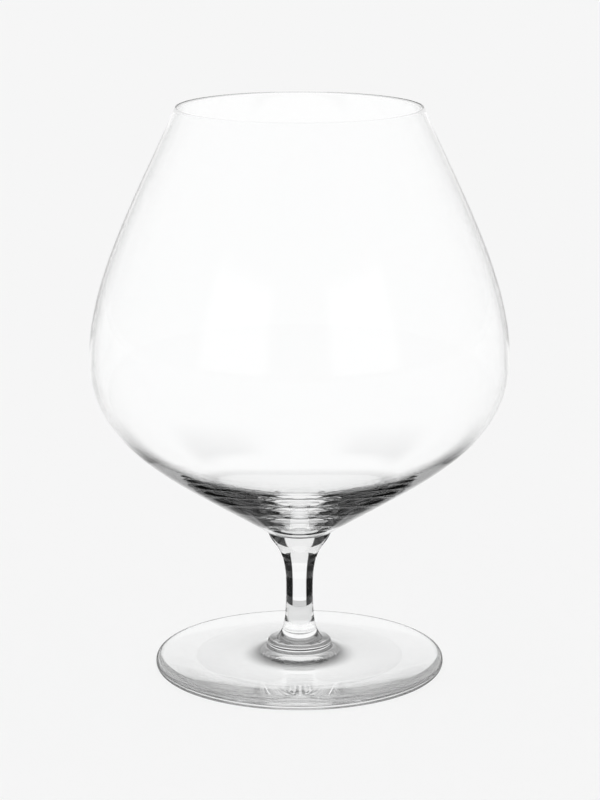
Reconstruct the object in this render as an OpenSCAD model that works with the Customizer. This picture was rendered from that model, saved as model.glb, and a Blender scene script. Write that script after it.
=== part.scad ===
// Brandy snifter: a blown bowl, a short drawn stem and a round foot, joined hot to make one glass.
// The origin is the centre of the foot's underside, on the table, with Z up through the rim.

/* [Bowl] */
// Height of the bowl, from its joint with the stem to the rim
bowl_h = 120; // [108:1:132]
// Largest outside diameter of the bowl
bowl_d = 117; // [106:0.5:124]
// Height of the widest ring above the joint
belly_rise = 50.3; // [46:0.1:55]
// Outside diameter of the rim
rim_d = 68.5; // [60:0.5:78]
// Lean of the wall at the rim, in degrees from upright
rim_lean = 22.8; // [18:0.2:26]
// Rise of the bowl's lower cone at the joint, in degrees from level
cone_angle = 33.5; // [31:0.5:36]
// Thickness of the wall at the rim
rim_wall = 0.8; // [0.6:0.1:1.2]
// Thickness of the wall at the widest ring
belly_wall = 1.45; // [1.2:0.05:2]
// Solid glass between the joint and the lowest point of the hollow
base_t = 5; // [3.8:0.1:6.6]
// How soon the wall thins above the solid base, larger is sooner
hollow_round = 6.5; // [5:0.1:8]

/* [Stem] */
// Length of the stem, from the foot's boss to the bowl
stem_h = 31.6; // [26:0.2:60]
// Diameter of the stem at its narrowest
stem_d = 7.6; // [6:0.1:10]
// Height of the narrowest place above the boss
waist_rise = 15.2; // [12:0.2:18]
// Diameter of the stem where it meets the bowl
stem_top_d = 18; // [15:0.2:22]
// Diameter of the stem where it meets the boss
stem_end_d = 13.2; // [11:0.2:15]
// Slope of the stem's side just under the bowl, in degrees from level
top_flare = 74; // [60:1:80]
// Slope of the stem's side just above the boss, in degrees from level
end_flare = 48; // [38:1:60]
// Rounding of the bowl's lower edge round the joint
joint_round = 0.4; // [0.2:0.1:0.8]

/* [Foot] */
// Diameter of the foot
foot_d = 81.6; // [70:0.2:96]
// Thickness of the foot at its edge
edge_t = 4.2; // [4.1:0.1:6]
// Rounding of the edge's upper corner
edge_round = 1.9; // [1.2:0.1:2.1]
// Rounding of the edge's lower corner
heel_round = 2.1; // [1:0.1:2.2]
// How far the foot's upper face climbs from the edge to the boss
foot_climb = 0.9; // [0.4:0.1:1.6]
// Width of the flat ring on which the glass stands
stand_w = 9.5; // [4:0.5:14]
// Depth of the shallow hollow under the foot
hollow_t = 0.7; // [0.3:0.1:1.2]

/* [Boss] */
// Height of the boss's seat above the table
boss_h = 8.4; // [7.8:0.1:11]
// Ledge of the boss round the stem's end
boss_ledge = 2.4; // [1.6:0.1:3.4]
// Rounding of the boss's shoulder
boss_round = 1.1; // [0.6:0.1:1.2]
// Reach of the fillet from the boss on to the foot
boss_fillet = 5; // [3.4:0.2:7.4]

/* [Hidden] */
$fn = 180;

seat_h = boss_h + stem_h;
belly_h = seat_h + belly_rise;
rim_h = seat_h + bowl_h;
floor_h = seat_h + base_t;
bowl_r = bowl_d / 2;
stem_r = stem_d / 2;
stem_top_r = stem_top_d / 2;
stem_end_r = stem_end_d / 2;
foot_r = foot_d / 2;
seat_r = stem_top_r + joint_round;
boss_r = stem_end_r + boss_ledge;
fillet_r = boss_r + boss_fillet;
top_h = edge_t + foot_climb;
lip_r = rim_wall / 2;

// How far each curve follows its end's direction, as shares of the height or reach that it spans
cone_pull_share = 0.59;
belly_down_share = 0.49;
belly_up_share = 0.328;
rim_pull_share = 0.312;
waist_up_share = 0.76;
top_pull_share = 0.29;
waist_down_share = 0.62;
end_pull_share = 0.24;
fillet_down_share = 0.75;
fillet_out_share = 0.6;

// Steps of a long curve and of a small rounding
curve_steps = 36;
round_steps = 8;

// Direction at an angle, in degrees from level
function heading(angle) = [cos(angle), sin(angle)];

// Smooth curve from a to d, leaving towards b and arriving from c
function curve(a, b, c, d, steps) = [
    for (i = [0 : steps])
        let (t = i / steps, s = 1 - t)
        s * s * s * a + 3 * s * s * t * b + 3 * s * t * t * c + t * t * t * d
];

// Round corner about a centre, from one angle to another
function corner(centre, radius, from, to) = [
    for (i = [0 : round_steps])
        centre + radius * heading(from + (to - from) * i / round_steps)
];

// The bowl's outside: rounded heel at the joint, cone, belly and the wall that leans in to the rim
heel_c = [stem_top_r, seat_h + joint_round];
heel = corner(heel_c, joint_round, -90, cone_angle - 90);
cone_start = heel[round_steps];
belly = [bowl_r, belly_h];
lip_c = [rim_d / 2 - lip_r, rim_h - lip_r];
lip_out = lip_c + lip_r * heading(rim_lean);
lip_in = lip_c - lip_r * heading(rim_lean);
rim_pull = rim_pull_share * (rim_h - belly_h) * heading(rim_lean - 90);

lower_outside = curve(
    cone_start,
    cone_start + cone_pull_share * (bowl_r - seat_r) * heading(cone_angle),
    belly - [0, belly_down_share * belly_rise],
    belly,
    curve_steps
);

// Wall above the belly, from a point on the widest ring to one on the lip
function upper_wall(start, end) = curve(
    start,
    start + [0, belly_up_share * (rim_h - belly_h)],
    end + rim_pull,
    end,
    curve_steps
);

// The hollow below the belly follows the outside and closes in a round floor over the solid base
outside_table = [for (p = lower_outside) [p[1], p[0]]];

function hollow_r(z) =
    let (climb = (z - floor_h) / (belly_h - floor_h))
    (lookup(z, outside_table) - belly_wall) * sqrt(1 - pow(1 - climb, hollow_round));

lower_hollow = [
    for (i = [0 : curve_steps])
        let (z = floor_h + (belly_h - floor_h) * pow(i / curve_steps, 2))
        [hollow_r(z), z]
];

function reversed(points) = [for (i = [len(points) - 1 : -1 : 0]) points[i]];

// The points of a list after its first
function rest(points) = [for (i = [1 : len(points) - 1]) points[i]];

module bowl() {
    color([0.86, 0.91, 0.93], 0.4)
    rotate_extrude()
    polygon(concat(
        [[0, seat_h]],
        heel,
        rest(lower_outside),
        rest(upper_wall(belly, lip_out)),
        rest(corner(lip_c, lip_r, rim_lean, rim_lean + 180)),
        rest(reversed(upper_wall(belly - [belly_wall, 0], lip_in))),
        rest(reversed(lower_hollow))
    ));
}

module stem() {
    waist = [stem_r, boss_h + waist_rise];
    top = [stem_top_r, seat_h];
    end = [stem_end_r, boss_h];
    top_span = stem_h - waist_rise;
    color([0.8, 0.86, 0.88], 0.5)
    rotate_extrude()
    polygon(concat(
        [[0, boss_h]],
        curve(
            end,
            end + end_pull_share * waist_rise * heading(180 - end_flare),
            waist - [0, waist_down_share * waist_rise],
            waist,
            curve_steps
        ),
        rest(curve(
            waist,
            waist + [0, waist_up_share * top_span],
            top - top_pull_share * top_span * heading(top_flare),
            top,
            curve_steps
        )),
        [[0, seat_h]]
    ));
}

// The underside stands on a flat ring, inside which it lifts in a shallow dish
module foot() {
    stand_r = foot_r - heel_round - stand_w;
    boss_foot = [boss_r, boss_h - boss_round];
    fillet_end = [fillet_r, top_h];
    color([0.84, 0.89, 0.91], 0.45)
    rotate_extrude()
    polygon(concat(
        [for (i = [0 : curve_steps])
            let (share = i / curve_steps)
            [stand_r * share, hollow_t * pow(cos(90 * share), 2)]],
        corner([foot_r - heel_round, heel_round], heel_round, -90, 0),
        corner([foot_r - edge_round, edge_t - edge_round], edge_round, 0, 90),
        curve(
            fillet_end,
            fillet_end - [fillet_out_share * boss_fillet, 0],
            boss_foot - [0, fillet_down_share * (boss_foot[1] - top_h)],
            boss_foot,
            round_steps
        ),
        rest(corner([boss_r - boss_round, boss_h - boss_round], boss_round, 0, 90)),
        [[0, boss_h]]
    ));
}

bowl();
stem();
foot();
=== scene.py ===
from math import atan2, cos, pi, radians, sin, sqrt
import bmesh
import bpy
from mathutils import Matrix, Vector


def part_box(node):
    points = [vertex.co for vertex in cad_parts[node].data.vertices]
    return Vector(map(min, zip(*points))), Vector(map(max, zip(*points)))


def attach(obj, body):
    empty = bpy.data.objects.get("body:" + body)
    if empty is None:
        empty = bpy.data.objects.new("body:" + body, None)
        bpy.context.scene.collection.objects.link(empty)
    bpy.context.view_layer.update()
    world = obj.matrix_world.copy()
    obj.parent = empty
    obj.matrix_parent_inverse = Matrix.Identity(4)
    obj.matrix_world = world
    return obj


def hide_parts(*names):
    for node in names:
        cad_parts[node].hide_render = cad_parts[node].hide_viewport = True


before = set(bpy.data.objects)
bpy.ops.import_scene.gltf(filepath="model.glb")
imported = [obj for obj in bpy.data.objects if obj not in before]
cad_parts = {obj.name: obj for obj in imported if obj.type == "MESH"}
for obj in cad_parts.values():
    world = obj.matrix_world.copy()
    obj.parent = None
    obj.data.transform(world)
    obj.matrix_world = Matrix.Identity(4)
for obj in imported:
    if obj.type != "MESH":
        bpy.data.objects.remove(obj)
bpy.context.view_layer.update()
print("frame loaded,", len(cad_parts), "pieces of glass")

mm = 0.001
weldGap = 0.001 * mm  # points nearer than this are one, and heights nearer than this are level
levelNormal = 0.999  # a face is level where its normal rises more than this
sharpAngle = radians(50)


# Outline tools: an outline is a list of (radius, height) points from the axis round to the axis. Pulls are shares
# of a span and say how full a curve is at that end.

def heading(angle):
    return Vector((cos(angle), sin(angle)))


def curve(start, startPull, endPull, end, steps):
    points = []
    for i in range(steps + 1):
        t = i / steps
        s = 1 - t
        points.append(s**3 * start + 3 * s * s * t * startPull + 3 * s * t * t * endPull + t**3 * end)
    return points


def corner(centre, radius, fromAngle, toAngle, steps=10):
    turn = (toAngle - fromAngle) / steps
    return [centre + radius * heading(fromAngle + turn * i) for i in range(steps + 1)]


def radiusAt(outline, height):
    for low, high in zip(outline, outline[1:]):
        if low.y <= height < high.y:
            return low.x + (high.x - low.x) * (height - low.y) / (high.y - low.y)
    return outline[-1].x


# Spins an outline round Z into a closed smooth skin. A joint is (height, radius): the level faces within it are
# fused to the next piece
def spinGlass(name, outline, segments, joints):
    bm = bmesh.new()
    verts = [bm.verts.new((p.x, 0, p.y)) for p in outline]
    edges = [bm.edges.new(pair) for pair in zip(verts, verts[1:])]
    bmesh.ops.spin(
        bm, geom=verts + edges, cent=(0, 0, 0), axis=(0, 0, 1), angle=2 * pi, steps=segments,
        use_merge=True, use_duplicate=False,
    )
    bmesh.ops.remove_doubles(bm, verts=bm.verts, dist=weldGap)
    bmesh.ops.recalc_face_normals(bm, faces=bm.faces)
    for face in bm.faces:
        face.smooth = True
        middle = face.calc_center_median()
        for height, radius in joints:
            if abs(middle.z - height) < weldGap and abs(face.normal.z) > levelNormal and middle.xy.length < radius:
                face.material_index = 1
    mesh = bpy.data.meshes.new(name)
    bm.to_mesh(mesh)
    bm.free()
    mesh.set_sharp_from_angle(angle=sharpAngle)
    piece = bpy.data.objects.new(name, mesh)
    bpy.context.scene.collection.objects.link(piece)
    return piece


# Bowl

bowlSizes = {
    "rimRadius": 34.25 * mm,
    "rimLean": radians(22.8),
    "rimWall": 0.8 * mm,
    "bellyRise": 50.3 * mm,
    "bellyWall": 1.45 * mm,
    "coneAngle": radians(33.5),
    "jointRound": 0.4 * mm,
    "baseThickness": 5.0 * mm,
    "hollowRound": 6.5,  # higher is flatter at the bottom of the hollow
    "conePull": 0.59,
    "bellyDown": 0.49,
    "bellyUp": 0.328,
    "rimPull": 0.312,
    "lowerSteps": 90,
    "upperSteps": 60,
    "segments": 256,
}


def bowlOutline(sizes):
    low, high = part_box("bowl")
    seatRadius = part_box("stem")[1][0]
    seatHeight, rimHeight, bowlRadius = low[2], high[2], high[0]
    bellyHeight = seatHeight + sizes["bellyRise"]
    topSpan = rimHeight - bellyHeight
    lip = sizes["rimWall"] / 2
    heel = corner(
        Vector((seatRadius, seatHeight + sizes["jointRound"])), sizes["jointRound"],
        -pi / 2, sizes["coneAngle"] - pi / 2,
    )
    belly = Vector((bowlRadius, bellyHeight))
    lipCentre = Vector((sizes["rimRadius"] - lip, rimHeight - lip))
    lean = sizes["rimLean"]
    rimPull = sizes["rimPull"] * topSpan * heading(lean - pi / 2)
    bellyPull = Vector((0, sizes["bellyUp"] * topSpan))
    coneReach = sizes["conePull"] * (bowlRadius - seatRadius - sizes["jointRound"])
    lower = curve(
        heel[-1], heel[-1] + coneReach * heading(sizes["coneAngle"]),
        belly - Vector((0, sizes["bellyDown"] * sizes["bellyRise"])), belly, sizes["lowerSteps"],
    )
    lipOut = lipCentre + lip * heading(lean)
    lipIn = lipCentre - lip * heading(lean)
    upper = curve(belly, belly + bellyPull, lipOut + rimPull, lipOut, sizes["upperSteps"])
    bellyIn = belly - Vector((sizes["bellyWall"], 0))
    upperIn = curve(bellyIn, bellyIn + bellyPull, lipIn + rimPull, lipIn, sizes["upperSteps"])
    floorHeight = seatHeight + sizes["baseThickness"]
    hollow = []
    for i in range(sizes["lowerSteps"] + 1):
        climb = (i / sizes["lowerSteps"])**2
        z = floorHeight + (bellyHeight - floorHeight) * climb
        r = (radiusAt(lower, z) - sizes["bellyWall"]) * sqrt(1 - (1 - climb)**sizes["hollowRound"])
        hollow.append(Vector((r, z)))
    return (
        [Vector((0, seatHeight))] + heel + lower[1:] + upper[1:]
        + corner(lipCentre, lip, lean, lean + pi)[1:] + upperIn[::-1][1:] + hollow[::-1][1:]
    )


def makeBowl():
    seat = (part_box("bowl")[0][2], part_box("stem")[1][0])
    return spinGlass("bowl_glass", bowlOutline(bowlSizes), bowlSizes["segments"], [seat])


# Stem

stemSizes = {
    "waistRadius": 3.8 * mm,
    "waistRise": 15.2 * mm,
    "endRadius": 6.6 * mm,
    "topFlare": radians(74),
    "endFlare": radians(48),
    "waistUp": 0.76,
    "topPull": 0.29,
    "waistDown": 0.62,
    "endPull": 0.24,
    "steps": 60,
    "segments": 192,
}


def stemOutline(sizes):
    low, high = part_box("stem")
    waist = Vector((sizes["waistRadius"], low[2] + sizes["waistRise"]))
    top = Vector((high[0], high[2]))
    end = Vector((sizes["endRadius"], low[2]))
    topSpan = top.y - waist.y
    lower = curve(
        end, end + sizes["endPull"] * sizes["waistRise"] * heading(pi - sizes["endFlare"]),
        waist - Vector((0, sizes["waistDown"] * sizes["waistRise"])), waist, sizes["steps"],
    )
    upper = curve(
        waist, waist + Vector((0, sizes["waistUp"] * topSpan)),
        top - sizes["topPull"] * topSpan * heading(sizes["topFlare"]), top, sizes["steps"],
    )
    return [Vector((0, low[2]))] + lower + upper[1:] + [Vector((0, high[2]))]


def makeStem():
    low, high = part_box("stem")
    ends = [(low[2], stemSizes["endRadius"]), (high[2], high[0])]
    return spinGlass("stem_glass", stemOutline(stemSizes), stemSizes["segments"], ends)


# Foot

footSizes = {
    "edgeThickness": 4.2 * mm,
    "edgeRound": 1.9 * mm,
    "heelRound": 2.1 * mm,
    "climb": 0.9 * mm,  # rise of the top from the edge in to the boss
    "standWidth": 9.5 * mm,
    "hollowDepth": 0.7 * mm,
    "ledge": 2.4 * mm,  # width of the boss round the stem
    "bossRound": 1.1 * mm,
    "bossFillet": 5.0 * mm,
    "filletDown": 0.75,
    "filletOut": 0.6,
    "steps": 40,
    "segments": 256,
}


def footOutline(sizes):
    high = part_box("foot")[1]
    footRadius, bossHeight = high[0], high[2]
    seatRadius = stemSizes["endRadius"]
    bossRadius = seatRadius + sizes["ledge"]
    topHeight = sizes["edgeThickness"] + sizes["climb"]
    standRadius = footRadius - sizes["heelRound"] - sizes["standWidth"]
    bossFoot = Vector((bossRadius, bossHeight - sizes["bossRound"]))
    filletEnd = Vector((bossRadius + sizes["bossFillet"], topHeight))
    steps = sizes["steps"]
    under = [
        Vector((standRadius * i / steps, sizes["hollowDepth"] * cos(pi / 2 * i / steps)**2))
        for i in range(steps + 1)
    ]
    return (
        under
        + corner(Vector((footRadius - sizes["heelRound"], sizes["heelRound"])), sizes["heelRound"], -pi / 2, 0)
        + corner(
            Vector((footRadius - sizes["edgeRound"], sizes["edgeThickness"] - sizes["edgeRound"])),
            sizes["edgeRound"], 0, pi / 2,
        )
        + curve(
            filletEnd, filletEnd - Vector((sizes["filletOut"] * sizes["bossFillet"], 0)),
            bossFoot - Vector((0, sizes["filletDown"] * (bossFoot.y - topHeight))), bossFoot, steps,
        )
        + corner(
            Vector((bossRadius - sizes["bossRound"], bossFoot.y)), sizes["bossRound"], 0, pi / 2,
        )[1:]
        + [Vector((seatRadius, bossHeight)), Vector((0, bossHeight))]
    )


def makeFoot():
    seat = (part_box("foot")[1][2], stemSizes["endRadius"])
    return spinGlass("foot_glass", footOutline(footSizes), footSizes["segments"], [seat])


# Node helpers

def grey(level):
    return (level, level, level, 1)


# Links a socket to another node's output, or sets it to a plain number or colour
def feed(tree, socket, value):
    if isinstance(value, bpy.types.NodeSocket):
        tree.links.new(value, socket)
    else:
        socket.default_value = value


def mathNode(tree, operation, first, second=None):
    node = tree.nodes.new("ShaderNodeMath")
    node.operation = operation
    feed(tree, node.inputs[0], first)
    if second is not None:
        feed(tree, node.inputs[1], second)
    return node.outputs[0]


def allOf(tree, *masks):
    result = masks[0]
    for mask in masks[1:]:
        result = mathNode(tree, "MULTIPLY", result, mask)
    return result


def anyOf(tree, *masks):
    result = masks[0]
    for mask in masks[1:]:
        result = mathNode(tree, "MAXIMUM", result, mask)
    return result


def mixColours(tree, factor, first, second):
    mix = tree.nodes.new("ShaderNodeMix")
    mix.data_type = "RGBA"
    feed(tree, mix.inputs["Factor"], factor)
    for name, value in (("A", first), ("B", second)):
        feed(tree, [i for i in mix.inputs if i.name == name and i.type == "RGBA"][0], value)
    return [o for o in mix.outputs if o.type == "RGBA"][0]


def ramp(tree, value, low, high, fromValue=0, toValue=1):
    node = tree.nodes.new("ShaderNodeMapRange")
    node.interpolation_type = "SMOOTHSTEP"
    feed(tree, node.inputs["Value"], value)
    for name, end in (("From Min", low), ("From Max", high), ("To Min", fromValue), ("To Max", toValue)):
        feed(tree, node.inputs[name], end)
    return node.outputs["Result"]


# Materials

glassLook = {
    "colour": (0.994, 0.996, 0.996, 1),
    "ior": 1.52,
    "waveSize": 14 * mm,
    "waveDepth": 0.02 * mm,
    "smudgeSize": 22 * mm,
    "smudgeFrom": 0.52,  # a smudge comes up between these two levels of the noise
    "smudgeTo": 0.75,
    "fadeFrom": 80 * mm,  # waves and marks fade out from here to the top of the rim's glow
    "rimFrom": 152 * mm,
    "rimTo": 156 * mm,
    "rimGlow": 0.8,
    "rimReflection": 4,  # the lip's painted glow comes at this reflection
}

# Marks that each piece keeps from its making: rings from the turned mould on the bowl, faint lengthwise draw
# lines on the stem and slow ripples in the foot. Use leaves smudges and a trace of haze on the bowl alone.
marksLook = {
    "bowl": {
        "stretch": (0.05, 0.05, 1), "markSize": 2.4 * mm, "markDepth": 0.012 * mm, "smudge": 0.02, "haze": 0.006,
    },
    "stem": {
        "stretch": (1, 1, 0.04), "markSize": 1.6 * mm, "markDepth": 0.004 * mm, "smudge": 0, "haze": 0,
    },
    "foot": {
        "stretch": (0.3, 0.3, 1), "markSize": 5 * mm, "markDepth": 0.01 * mm, "smudge": 0, "haze": 0,
    },
}


# Shared surface of blown glass: a slow wave, marks stretched along or round the piece, smudges and haze
def glassSurface(look):
    group = bpy.data.node_groups.new("glassSurface", "ShaderNodeTree")
    for name, kind in (
        ("Wave Size", "NodeSocketFloat"), ("Wave Depth", "NodeSocketFloat"), ("Stretch", "NodeSocketVector"),
        ("Mark Size", "NodeSocketFloat"), ("Mark Depth", "NodeSocketFloat"), ("Smudge", "NodeSocketFloat"),
        ("Smudge Size", "NodeSocketFloat"), ("Haze", "NodeSocketFloat"), ("Fade From", "NodeSocketFloat"),
        ("Fade To", "NodeSocketFloat"),
    ):
        group.interface.new_socket(name, in_out="INPUT", socket_type=kind)
    for name in ("Height", "Roughness"):
        group.interface.new_socket(name, in_out="OUTPUT", socket_type="NodeSocketFloat")
    into = group.nodes.new("NodeGroupInput")
    out = group.nodes.new("NodeGroupOutput")
    place = group.nodes.new("ShaderNodeTexCoord")

    def noise(vector, size, detail):
        node = group.nodes.new("ShaderNodeTexNoise")
        group.links.new(vector, node.inputs["Vector"])
        group.links.new(mathNode(group, "DIVIDE", 1, size), node.inputs["Scale"])
        node.inputs["Detail"].default_value = detail
        return node.outputs["Fac"]

    stretched = group.nodes.new("ShaderNodeVectorMath")
    stretched.operation = "MULTIPLY"
    group.links.new(place.outputs["Object"], stretched.inputs[0])
    group.links.new(into.outputs["Stretch"], stretched.inputs[1])
    wave = noise(place.outputs["Object"], into.outputs["Wave Size"], detail=1)
    marks = noise(stretched.outputs["Vector"], into.outputs["Mark Size"], detail=2)
    height = mathNode(
        group, "ADD", mathNode(group, "MULTIPLY", wave, into.outputs["Wave Depth"]),
        mathNode(group, "MULTIPLY", marks, into.outputs["Mark Depth"]),
    )
    split = group.nodes.new("ShaderNodeSeparateXYZ")
    group.links.new(place.outputs["Object"], split.inputs[0])
    fade = ramp(group, split.outputs["Z"], into.outputs["Fade From"], into.outputs["Fade To"], 1, 0)
    group.links.new(mathNode(group, "MULTIPLY", height, fade), out.inputs["Height"])
    smudges = noise(place.outputs["Object"], into.outputs["Smudge Size"], detail=4)
    smudges = ramp(group, smudges, look["smudgeFrom"], look["smudgeTo"])
    smudges = mathNode(group, "MULTIPLY", smudges, into.outputs["Smudge"])
    group.links.new(mathNode(group, "ADD", smudges, into.outputs["Haze"]), out.inputs["Roughness"])
    return group


def glassMaterial(name, look, marks, surface):
    material = bpy.data.materials.new(name)
    material.use_nodes = True
    tree = material.node_tree
    shader = tree.nodes["Principled BSDF"]
    shader.inputs["Base Color"].default_value = look["colour"]
    shader.inputs["IOR"].default_value = look["ior"]
    shader.inputs["Transmission Weight"].default_value = 1
    skin = tree.nodes.new("ShaderNodeGroup")
    skin.node_tree = surface
    for socket, value in (
        ("Wave Size", look["waveSize"]), ("Wave Depth", look["waveDepth"]), ("Stretch", marks["stretch"]),
        ("Mark Size", marks["markSize"]), ("Mark Depth", marks["markDepth"]), ("Smudge", marks["smudge"]),
        ("Smudge Size", look["smudgeSize"]), ("Haze", marks["haze"]), ("Fade From", look["fadeFrom"]),
        ("Fade To", look["rimTo"]),
    ):
        skin.inputs[socket].default_value = value
    bump = tree.nodes.new("ShaderNodeBump")
    bump.inputs["Distance"].default_value = 1
    tree.links.new(skin.outputs["Height"], bump.inputs["Height"])
    tree.links.new(bump.outputs["Normal"], shader.inputs["Normal"])
    if marks["smudge"] > 0:
        tree.links.new(skin.outputs["Roughness"], shader.inputs["Roughness"])
    else:
        shader.inputs["Roughness"].default_value = marks["haze"]  # the same all over
    # Light that the thin lip holds is mirrored hundreds of times, past the scene's bounces, and would end as a
    # black line, so there the lip gets a painted glow, an emission in place of that light, after a few reflections
    path = tree.nodes.new("ShaderNodeLightPath")
    place = tree.nodes.new("ShaderNodeTexCoord")
    split = tree.nodes.new("ShaderNodeSeparateXYZ")
    tree.links.new(place.outputs["Object"], split.inputs[0])
    lipGlow = allOf(
        tree, mathNode(tree, "COMPARE", path.outputs["Glossy Depth"], look["rimReflection"]),
        ramp(tree, split.outputs["Z"], look["rimFrom"], look["rimTo"], 0, look["rimGlow"]),
    )
    shader.inputs["Emission Color"].default_value = look["colour"]
    tree.links.new(lipGlow, shader.inputs["Emission Strength"])
    return material


# The level faces where two pieces were joined hot: light goes straight on from one into the other
def jointMaterial():
    material = bpy.data.materials.new("fusedJoint")
    material.use_nodes = True
    nodes, links = material.node_tree.nodes, material.node_tree.links
    nodes.remove(nodes["Principled BSDF"])
    clear = nodes.new("ShaderNodeBsdfTransparent")
    links.new(clear.outputs[0], nodes["Material Output"].inputs["Surface"])
    return material


# Studio: a pale floor under even light. What only the glass shows is painted darker beside it than straight on:
# painted dark reflections of black cards in the floor's colour, and dark cards in the world, so its solid parts
# get dark edges and stay bright in the middle. Radii are from the glass's axis, and a leg is the length of the
# last stretch of light, from the glass to the floor.

studio = {
    # Levels, 1 is white
    "backdrop": 0.9217,  # floor and world as the camera sees them past the glass
    "throughGlass": 1.0,  # floor seen through the glass
    "inGlass": 0.88,  # world seen in or through the glass
    "dark": 0.015,  # painted dark of the cards and rings on the floor, and the world's dark cards
    "floorRadius": 4.0,
    "floorSegments": 64,
    # Bright ways with cards between them, painted dark on the floor and dark in the world: how many, half their
    # width and the width of their edge
    "ways": 4,
    "wayHalf": radians(21),
    "wayEdge": radians(1.5),
    "softWayHalf": radians(24),
    "softWayEdge": radians(12),
    "cardTop": radians(36),
    "cardFrom": 43 * mm,
    # Painted dark ring on the floor close round the foot, and on from it in front of the cards for light with a
    # long leg
    "nearFrom": 13 * mm,
    "nearSoft": 1 * mm,
    "nearTo": 44 * mm,
    "nearEnd": 56 * mm,
    "besideTo": 56 * mm,
    "besideEnd": 195 * mm,
    "besideLeg": 82 * mm,
    "besideSoft": 5 * mm,
    # Legs up to the first are those of the foot, and legs over the second those of stem and bowl
    "closeBy": 30 * mm,
    "farOff": 40 * mm,
    # Painted dark reflection in the stem's sides: the floor is painted dark for light mirrored there, by its leg
    "mirrorTo": 170 * mm,
    "mirrorEnd": 230 * mm,
    # Painted shade on the floor seen through the stem's lower flare: its level, its legs and how far out it
    # reaches
    "lowStemShade": 0.62,
    "lowStemFrom": 24 * mm,
    "lowStemTo": 60 * mm,
    "lowStemOut": 60 * mm,
    # Floor under the foot: its level, its painted shade with a second piece in front, and the painted shade under
    # the boss
    "underFoot": 1.0,
    "twoDeep": 0.88,
    "underFrom": 9 * mm,
    "underTo": 17 * mm,
    "footRadius": 42 * mm,
    # Light trapped in the foot's edge, shown as a painted dark reflection: where it comes out and how dark it is
    # along the ways and by the cards
    "edgeFrom": 14 * mm,
    "edgeTo": 22 * mm,
    "edgeFade": 37 * mm,
    "edgeEnd": 85 * mm,
    "edgeWay": 0.8,
    "edgeCard": 0.82,
    # Light trapped in the glass that leaves it towards the horizon
    "horizon": radians(37),
    "horizonFade": radians(52),
    "horizonDark": 0.37,  # in the bowl
    "footHorizonDark": 0.6,  # in the stem and the foot
    # Band above the horizon, dark where it is mirrored once inside the stem or the foot
    "bandFrom": radians(8),
    "bandTo": radians(30),
    "bandEdge": radians(1.5),
    "bandDark": 0.72,
    # Bright windows behind the camera to its left and right, mirrored in the outer skin alone
    "window": 1.5,
    "windowFrom": radians(125),
    "windowTo": radians(163),
    "windowTop": radians(30),
    "windowEdge": radians(3),
    "bounces": 40,
}


# Masks for light on its way to the camera, by how the glass turned it: bent by one solid piece, bent by two,
# mirrored once or twice, trapped over more reflections, or mirrored off the outer skin alone. Sharp is bent by the
# stem or the foot, which have no haze, and not by the bowl's wall. A piece takes two passes, in and out.
def pathMasks(tree):
    path = tree.nodes.new("ShaderNodeLightPath")
    reflections, passes = path.outputs["Glossy Depth"], path.outputs["Transmission Depth"]
    direct = mathNode(tree, "LESS_THAN", path.outputs["Diffuse Depth"], 0.5)
    unmirrored = mathNode(tree, "LESS_THAN", reflections, 0.5)
    once = mathNode(tree, "COMPARE", reflections, 1)
    twice = mathNode(tree, "COMPARE", reflections, 2)
    onePiece = allOf(tree, direct, mathNode(tree, "LESS_THAN", passes, 2.5))
    noHaze = path.outputs["Is Singular Ray"]
    bent = allOf(tree, onePiece, mathNode(tree, "GREATER_THAN", passes, 0.5), unmirrored)
    masks = {
        "noHaze": noHaze,
        "bent": bent,
        "sharp": allOf(tree, bent, noHaze),
        "twoDeep": allOf(tree, direct, mathNode(tree, "COMPARE", passes, 4), unmirrored),
        "once": allOf(tree, onePiece, once),
        "onceInside": allOf(tree, onePiece, once, mathNode(tree, "GREATER_THAN", passes, 1.5)),
        "twice": allOf(tree, onePiece, twice),
        "trapped": allOf(tree, direct, mathNode(tree, "GREATER_THAN", reflections, 2.5)),
        "sheen": allOf(tree, direct, once, mathNode(tree, "LESS_THAN", passes, 0.5)),
        "inGlass": allOf(tree, direct, path.outputs["Is Glossy Ray"]),
    }
    return path, masks


# The turn round Z of a direction or a place, 0 towards +Y, with its separate x, y and z
def turnOf(tree, vector):
    split = tree.nodes.new("ShaderNodeSeparateXYZ")
    tree.links.new(vector, split.inputs[0])
    return split, mathNode(tree, "ARCTAN2", split.outputs["X"], split.outputs["Y"])


# Mask of the cards, which are painted dark on the floor and dark in the world: 1 between the bright ways and 0
# along them
def cardMask(tree, turn, half, edge):
    ways = studio["ways"]
    wave = mathNode(tree, "COSINE", mathNode(tree, "MULTIPLY", turn, ways))
    return ramp(tree, wave, cos(ways * (half + edge)), cos(ways * (half - edge)), 1, 0)
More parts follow.
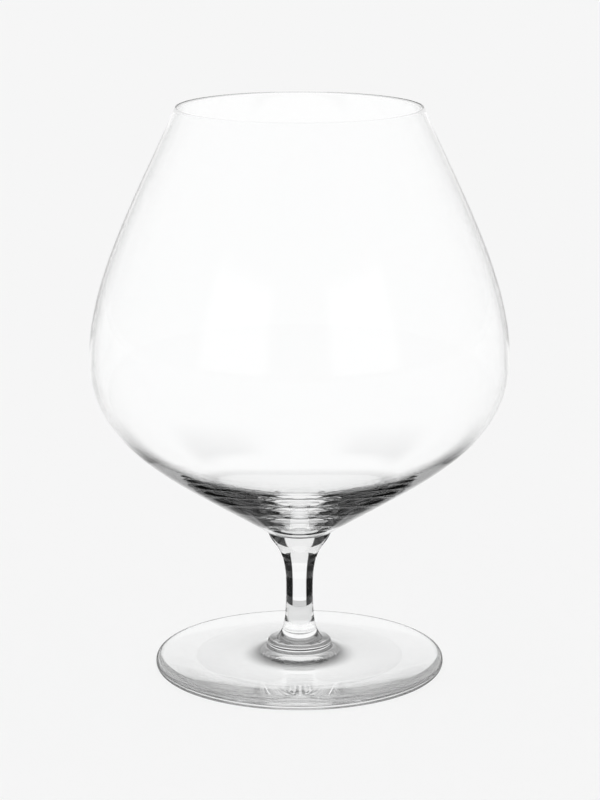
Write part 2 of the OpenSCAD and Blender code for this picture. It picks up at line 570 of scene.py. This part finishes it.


# How far each place on the floor is painted dark, as a painted dark reflection that only the glass shows
def paintedFloorDark(tree, path, masks, radius, turn):
    leg = path.outputs["Ray Length"]
    cards = cardMask(tree, turn, studio["wayHalf"], studio["wayEdge"])
    softCards = cardMask(tree, turn, studio["softWayHalf"], studio["softWayEdge"])
    farOff = ramp(tree, leg, studio["closeBy"], studio["farOff"])
    closeBy = mathNode(tree, "SUBTRACT", 1, farOff)
    beyondFoot = mathNode(tree, "GREATER_THAN", radius, studio["cardFrom"])
    nearRing = ramp(tree, radius, studio["nearTo"], studio["nearEnd"], 1, 0)
    besideRing = allOf(
        tree, softCards, ramp(tree, radius, studio["besideTo"], studio["besideEnd"], 1, 0),
        ramp(tree, leg, studio["besideLeg"] - studio["besideSoft"], studio["besideLeg"] + studio["besideSoft"]),
    )
    ring = allOf(
        tree,
        ramp(tree, radius, studio["nearFrom"] - studio["nearSoft"], studio["nearFrom"] + studio["nearSoft"]),
        anyOf(tree, nearRing, besideRing),
    )
    besideStem = allOf(
        tree, masks["noHaze"], beyondFoot, ramp(tree, leg, studio["mirrorTo"], studio["mirrorEnd"], 1, 0),
    )
    insideFoot = allOf(
        tree, masks["noHaze"], ramp(tree, radius, studio["underFrom"], studio["edgeFrom"]),
        mathNode(tree, "LESS_THAN", radius, studio["footRadius"]),
    )
    # Painted dark reflection of the light trapped in the foot's edge
    edgePaintedDark = allOf(
        tree, closeBy, ramp(tree, softCards, 0, 1, studio["edgeWay"], studio["edgeCard"]),
        ramp(tree, radius, studio["edgeFrom"], studio["edgeTo"]),
        ramp(tree, radius, studio["edgeFade"], studio["edgeEnd"], 1, 0),
    )
    # The floor painted dark for each kind of path through the glass
    return anyOf(
        tree,
        allOf(tree, masks["once"], anyOf(tree, ring, besideStem)),
        allOf(tree, masks["twice"], anyOf(tree, allOf(tree, ring, farOff), insideFoot)),
        allOf(tree, masks["trapped"], anyOf(tree, allOf(tree, cards, farOff), edgePaintedDark)),
        allOf(tree, masks["sharp"], cards, beyondFoot),
    )


# The floor's own pale colour, with the painted shade that is seen straight through the foot and the low stem
def floorColourWithShade(tree, path, masks, radius):
    leg = path.outputs["Ray Length"]
    plain = mixColours(
        tree, path.outputs["Is Transmission Ray"], grey(studio["backdrop"]), grey(studio["throughGlass"]),
    )
    closeBy = ramp(tree, leg, studio["closeBy"], studio["farOff"], 1, 0)
    underFoot = allOf(tree, closeBy, mathNode(tree, "LESS_THAN", radius, studio["footRadius"]))
    # Painted shade under the boss: black at the middle, up to the floor's level further out
    shade = mixColours(
        tree, ramp(tree, radius, studio["underFrom"], studio["underTo"]), grey(0), grey(studio["underFoot"]),
    )
    lowStemShade = allOf(
        tree, masks["sharp"], mathNode(tree, "GREATER_THAN", leg, studio["lowStemFrom"]),
        mathNode(tree, "LESS_THAN", leg, studio["lowStemTo"]),
        mathNode(tree, "LESS_THAN", radius, studio["lowStemOut"]),
    )
    # Painted shade in the floor's colour: under the boss, through the low stem and through two pieces
    for mask, level in (
        (allOf(tree, masks["bent"], underFoot), shade),
        (lowStemShade, grey(studio["lowStemShade"])),
        (allOf(tree, masks["twoDeep"], underFoot), grey(studio["twoDeep"])),
    ):
        plain = mixColours(tree, mask, plain, level)
    return plain


def makeFloor():
    bm = bmesh.new()
    bmesh.ops.create_circle(bm, cap_ends=True, radius=studio["floorRadius"], segments=studio["floorSegments"])
    mesh = bpy.data.meshes.new("floor")
    bm.to_mesh(mesh)
    bm.free()
    floor = bpy.data.objects.new("floor", mesh)
    bpy.context.scene.collection.objects.link(floor)
    material = bpy.data.materials.new("paleFloor")
    material.use_nodes = True
    tree = material.node_tree
    shader = tree.nodes["Principled BSDF"]
    path, masks = pathMasks(tree)
    place = tree.nodes.new("ShaderNodeTexCoord")
    length = tree.nodes.new("ShaderNodeVectorMath")
    length.operation = "LENGTH"
    tree.links.new(place.outputs["Object"], length.inputs[0])
    radius = length.outputs["Value"]
    turn = turnOf(tree, place.outputs["Object"])[1]
    dark = paintedFloorDark(tree, path, masks, radius, turn)
    plain = floorColourWithShade(tree, path, masks, radius)
    # The floor's colour carries the painted dark reflections and the painted shade, which only the glass shows
    tree.links.new(mixColours(tree, dark, plain, grey(studio["dark"])), shader.inputs["Base Color"])
    shader.inputs["Roughness"].default_value = 1
    shader.inputs["Specular IOR Level"].default_value = 0
    mesh.materials.append(material)


def makeWorld():
    world = bpy.data.worlds.new("studio")
    bpy.context.scene.world = world
    world.use_nodes = True
    tree = world.node_tree
    tree.nodes.clear()
    path, masks = pathMasks(tree)
    place = tree.nodes.new("ShaderNodeTexCoord")
    split, turn = turnOf(tree, place.outputs["Generated"])
    rise = split.outputs["Z"]  # the sine of the angle above the horizon
    cards = cardMask(tree, turn, studio["wayHalf"], studio["wayEdge"])
    lowCards = allOf(tree, cards, mathNode(tree, "LESS_THAN", rise, sin(studio["cardTop"])))
    horizon = allOf(
        tree, ramp(tree, masks["noHaze"], 0, 1, studio["horizonDark"], studio["footHorizonDark"]),
        ramp(tree, rise, sin(studio["horizon"]), sin(studio["horizonFade"]), 1, 0),
    )
    bandEdge = studio["bandEdge"]
    band = allOf(
        tree, masks["noHaze"], ramp(tree, rise, sin(studio["bandFrom"] - bandEdge), sin(studio["bandFrom"])),
        ramp(
            tree, rise, sin(studio["bandTo"] - bandEdge), sin(studio["bandTo"] + bandEdge),
            studio["bandDark"], 0,
        ),
    )
    dark = anyOf(
        tree,
        allOf(tree, masks["onceInside"], band),
        allOf(tree, masks["trapped"], anyOf(tree, cards, horizon)),
        allOf(tree, masks["sharp"], lowCards),
    )
    shown = mixColours(tree, path.outputs["Is Camera Ray"], grey(1), grey(studio["backdrop"]))
    shown = mixColours(tree, masks["inGlass"], shown, grey(studio["inGlass"]))
    windowEdge = studio["windowEdge"]
    aside = mathNode(tree, "ABSOLUTE", turn)
    window = allOf(
        tree, masks["sheen"],
        ramp(tree, aside, studio["windowFrom"] - windowEdge, studio["windowFrom"] + windowEdge),
        ramp(tree, aside, studio["windowTo"] - windowEdge, studio["windowTo"] + windowEdge, 1, 0),
        ramp(tree, rise, 0, sin(windowEdge)),
        ramp(tree, rise, sin(studio["windowTop"] - windowEdge), sin(studio["windowTop"] + windowEdge), 1, 0),
    )
    shown = mixColours(tree, window, shown, grey(studio["window"]))
    light = tree.nodes.new("ShaderNodeBackground")
    tree.links.new(mixColours(tree, dark, shown, grey(studio["dark"])), light.inputs["Color"])
    out = tree.nodes.new("ShaderNodeOutputWorld")
    tree.links.new(light.outputs[0], out.inputs["Surface"])


# Camera at the photograph's angle

view = {
    "distance": 780.3 * mm,  # from the glass's axis, on the level
    "height": 258.0 * mm,
    "aim": 78.0 * mm,  # the height on the axis that it looks at
    "focalPixels": 2863.8,
    "imageHeight": 800,
    "axisColumn": 299.5,
    "middleColumn": 300,
    "aimRow": 398.96,
    "middleRow": 400,
    "sensorWidth": 36,
    "clipStart": 10 * mm,
    "clipEnd": 20,
}


def makeCamera():
    data = bpy.data.cameras.new("camera")
    data.sensor_fit = "AUTO"
    data.sensor_width = view["sensorWidth"]
    data.lens = view["focalPixels"] * data.sensor_width / view["imageHeight"]
    data.shift_x = (view["middleColumn"] - view["axisColumn"]) / view["imageHeight"]
    data.shift_y = (view["aimRow"] - view["middleRow"]) / view["imageHeight"]
    data.clip_start = view["clipStart"]
    data.clip_end = view["clipEnd"]
    camera = bpy.data.objects.new("camera", data)
    camera.location = (0, -view["distance"], view["height"])
    down = atan2(view["height"] - view["aim"], view["distance"])
    camera.rotation_euler = (pi / 2 - down, 0, 0)
    bpy.context.scene.collection.objects.link(camera)
    bpy.context.scene.camera = camera


pieces = {"bowl": makeBowl(), "stem": makeStem(), "foot": makeFoot()}
surface, joint = glassSurface(glassLook), jointMaterial()
for node, piece in pieces.items():
    piece.data.materials.append(glassMaterial(node + "Glass", glassLook, marksLook[node], surface))
    piece.data.materials.append(joint)
    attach(piece, "root")
    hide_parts(node)
print("glass made")

makeFloor()
makeWorld()
makeCamera()
scene = bpy.context.scene
scene.view_settings.view_transform = "Standard"
scene.cycles.max_bounces = scene.cycles.glossy_bounces = scene.cycles.transmission_bounces = studio["bounces"]
scene.cycles.blur_glossy = 0  # light keeps what haze it has, and the masks can tell the bowl from the stem
print("studio made")
